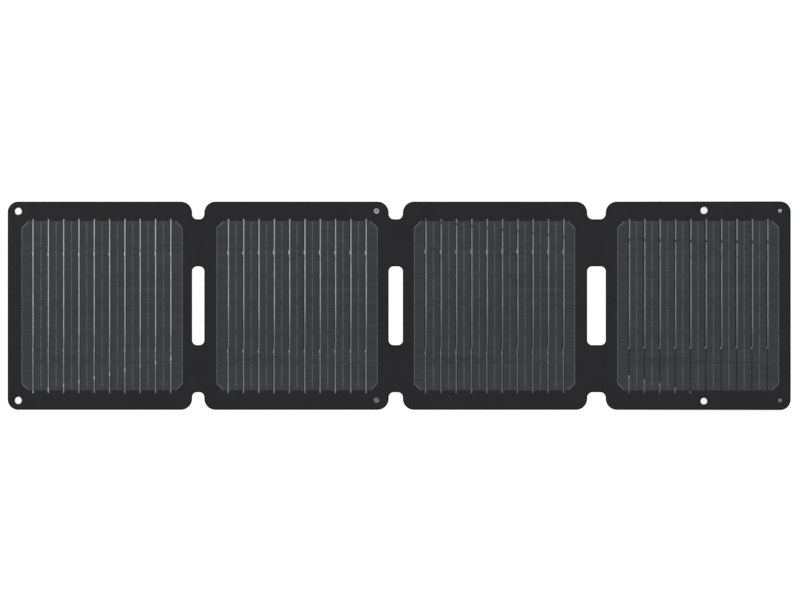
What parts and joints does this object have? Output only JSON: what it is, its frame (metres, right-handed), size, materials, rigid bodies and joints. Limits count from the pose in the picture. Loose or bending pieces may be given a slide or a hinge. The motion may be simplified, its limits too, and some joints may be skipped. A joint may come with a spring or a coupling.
{
  "type": "folding solar charger",
  "caption": "Folding solar charger: laminated panels in a row joined by hinge webs, with eyelets, press studs and a USB output box behind the last panel.",
  "frame": {"origin": "centre of the object's box on the plane that it lies on", "axes": "+X along the row from the first panel to the fourth, +Y up each panel, +Z out of the cells when the charger lies open on its back"},
  "size_m": [0.8764, 0.2334, 0.0161],
  "materials": {
    "back_fabric": "black woven polyester backing",
    "core_board": "thin glass-fibre stiffener",
    "black_skin": "matte black laminated skin with a fine grain",
    "hinge_web": "matte black flexible laminate",
    "solar_cell": "dark grey monocrystalline silicon with fine finger lines",
    "tinned_ribbon": "tinned copper ribbon",
    "clear_film": "clear matte protective film",
    "nickel": "nickel-plated metal",
    "box_plastic": "fine textured black moulding",
    "black_rubber": "soft matte black rubber",
    "circuit_board": "green solder mask",
    "copper": "copper",
    "light_lens": "clear diffusing plastic"
  },
  "bodies": {
    "panel_3": {"back_cover_3": "back_fabric", "core_board_3": "core_board", "front_skin_3": "black_skin", "cell_array_3": "solar_cell", "ribbon_grid_3": "tinned_ribbon", "front_film_3": "clear_film"},
    "web_2": {"web_2_upper": "hinge_web", "web_2_lower": "hinge_web", "conductor_2": "copper"},
    "panel_2": {"back_cover_2": "back_fabric", "core_board_2": "core_board", "front_skin_2": "black_skin", "cell_array_2": "solar_cell", "ribbon_grid_2": "tinned_ribbon", "front_film_2": "clear_film", "snap_socket_upper": "nickel", "snap_socket_lower": "nickel"},
    "web_1": {"web_1_upper": "hinge_web", "web_1_lower": "hinge_web", "conductor_1": "copper"},
    "panel_1": {"back_cover_1": "back_fabric", "core_board_1": "core_board", "front_skin_1": "black_skin", "cell_array_1": "solar_cell", "ribbon_grid_1": "tinned_ribbon", "front_film_1": "clear_film", "eyelet_1_upper": "nickel", "eyelet_1_lower": "nickel"},
    "web_3": {"web_3_upper": "hinge_web", "web_3_lower": "hinge_web", "conductor_3": "copper"},
    "panel_4": {"back_cover_4": "back_fabric", "core_board_4": "core_board", "front_skin_4": "black_skin", "cell_array_4": "solar_cell", "ribbon_grid_4": "tinned_ribbon", "front_film_4": "clear_film", "eyelet_4_upper": "nickel", "eyelet_4_lower": "nickel", "snap_stud_upper": "nickel", "snap_stud_lower": "nickel", "box_base": "box_plastic", "box_gasket": "black_rubber", "box_cover": "box_plastic", "box_screw_1": "nickel", "box_screw_2": "nickel", "box_screw_3": "nickel", "box_screw_4": "nickel", "circuit_board": "circuit_board", "usb_a_socket": "nickel", "usb_c_socket": "nickel", "inductor": "copper", "capacitor": "nickel", "status_light": "light_lens", "flap_anchor": "black_rubber"},
    "usb_a_flap": {"usb_a_flap": "black_rubber"},
    "usb_c_flap": {"usb_c_flap": "black_rubber"}
  },
  "joints": [
    {"name": "fold_2", "type": "hinge", "parent": "panel_3", "child": "web_2", "pos_m": [0.00426, 0, 0.0022], "axis": [0, 1, 0], "range_deg": [0, 90]},
    {"name": "fold_2_outer", "type": "hinge", "parent": "web_2", "child": "panel_2", "pos_m": [-0.01104, 0, 0.0022], "axis": [0, 1, 0], "range_deg": [0, 90]},
    {"name": "fold_1", "type": "hinge", "parent": "panel_2", "child": "web_1", "pos_m": [-0.21884, 0, 0.0022], "axis": [0, 1, 0], "range_deg": [0, 90]},
    {"name": "fold_1_outer", "type": "hinge", "parent": "web_1", "child": "panel_1", "pos_m": [-0.23074, 0, 0.0022], "axis": [0, 1, 0], "range_deg": [0, 90]},
    {"name": "fold_3", "type": "hinge", "parent": "panel_3", "child": "web_3", "pos_m": [0.21316, 0, 0.0022], "axis": [0, -1, 0], "range_deg": [0, 90]},
    {"name": "fold_3_outer", "type": "hinge", "parent": "web_3", "child": "panel_4", "pos_m": [0.23161, 0, 0.0022], "axis": [0, -1, 0], "range_deg": [0, 86.37]},
    {"name": "usb_a_flap_hinge", "type": "hinge", "parent": "panel_4", "child": "usb_a_flap", "pos_m": [0.43177, 0.00285, 0.00768], "axis": [0.0633, 0, -0.998], "range_deg": [0, 90]},
    {"name": "usb_c_flap_hinge", "type": "hinge", "parent": "panel_4", "child": "usb_c_flap", "pos_m": [0.43177, -0.00285, 0.00768], "axis": [-0.0633, 0, 0.998], "range_deg": [0, 90]}
  ],
  "couplings": [
    {"joint": "fold_2_outer", "follows": "fold_2", "ratio": 1},
    {"joint": "fold_1_outer", "follows": "fold_1", "ratio": 1},
    {"joint": "fold_3_outer", "follows": "fold_3", "ratio": 0.95967}
  ]
}
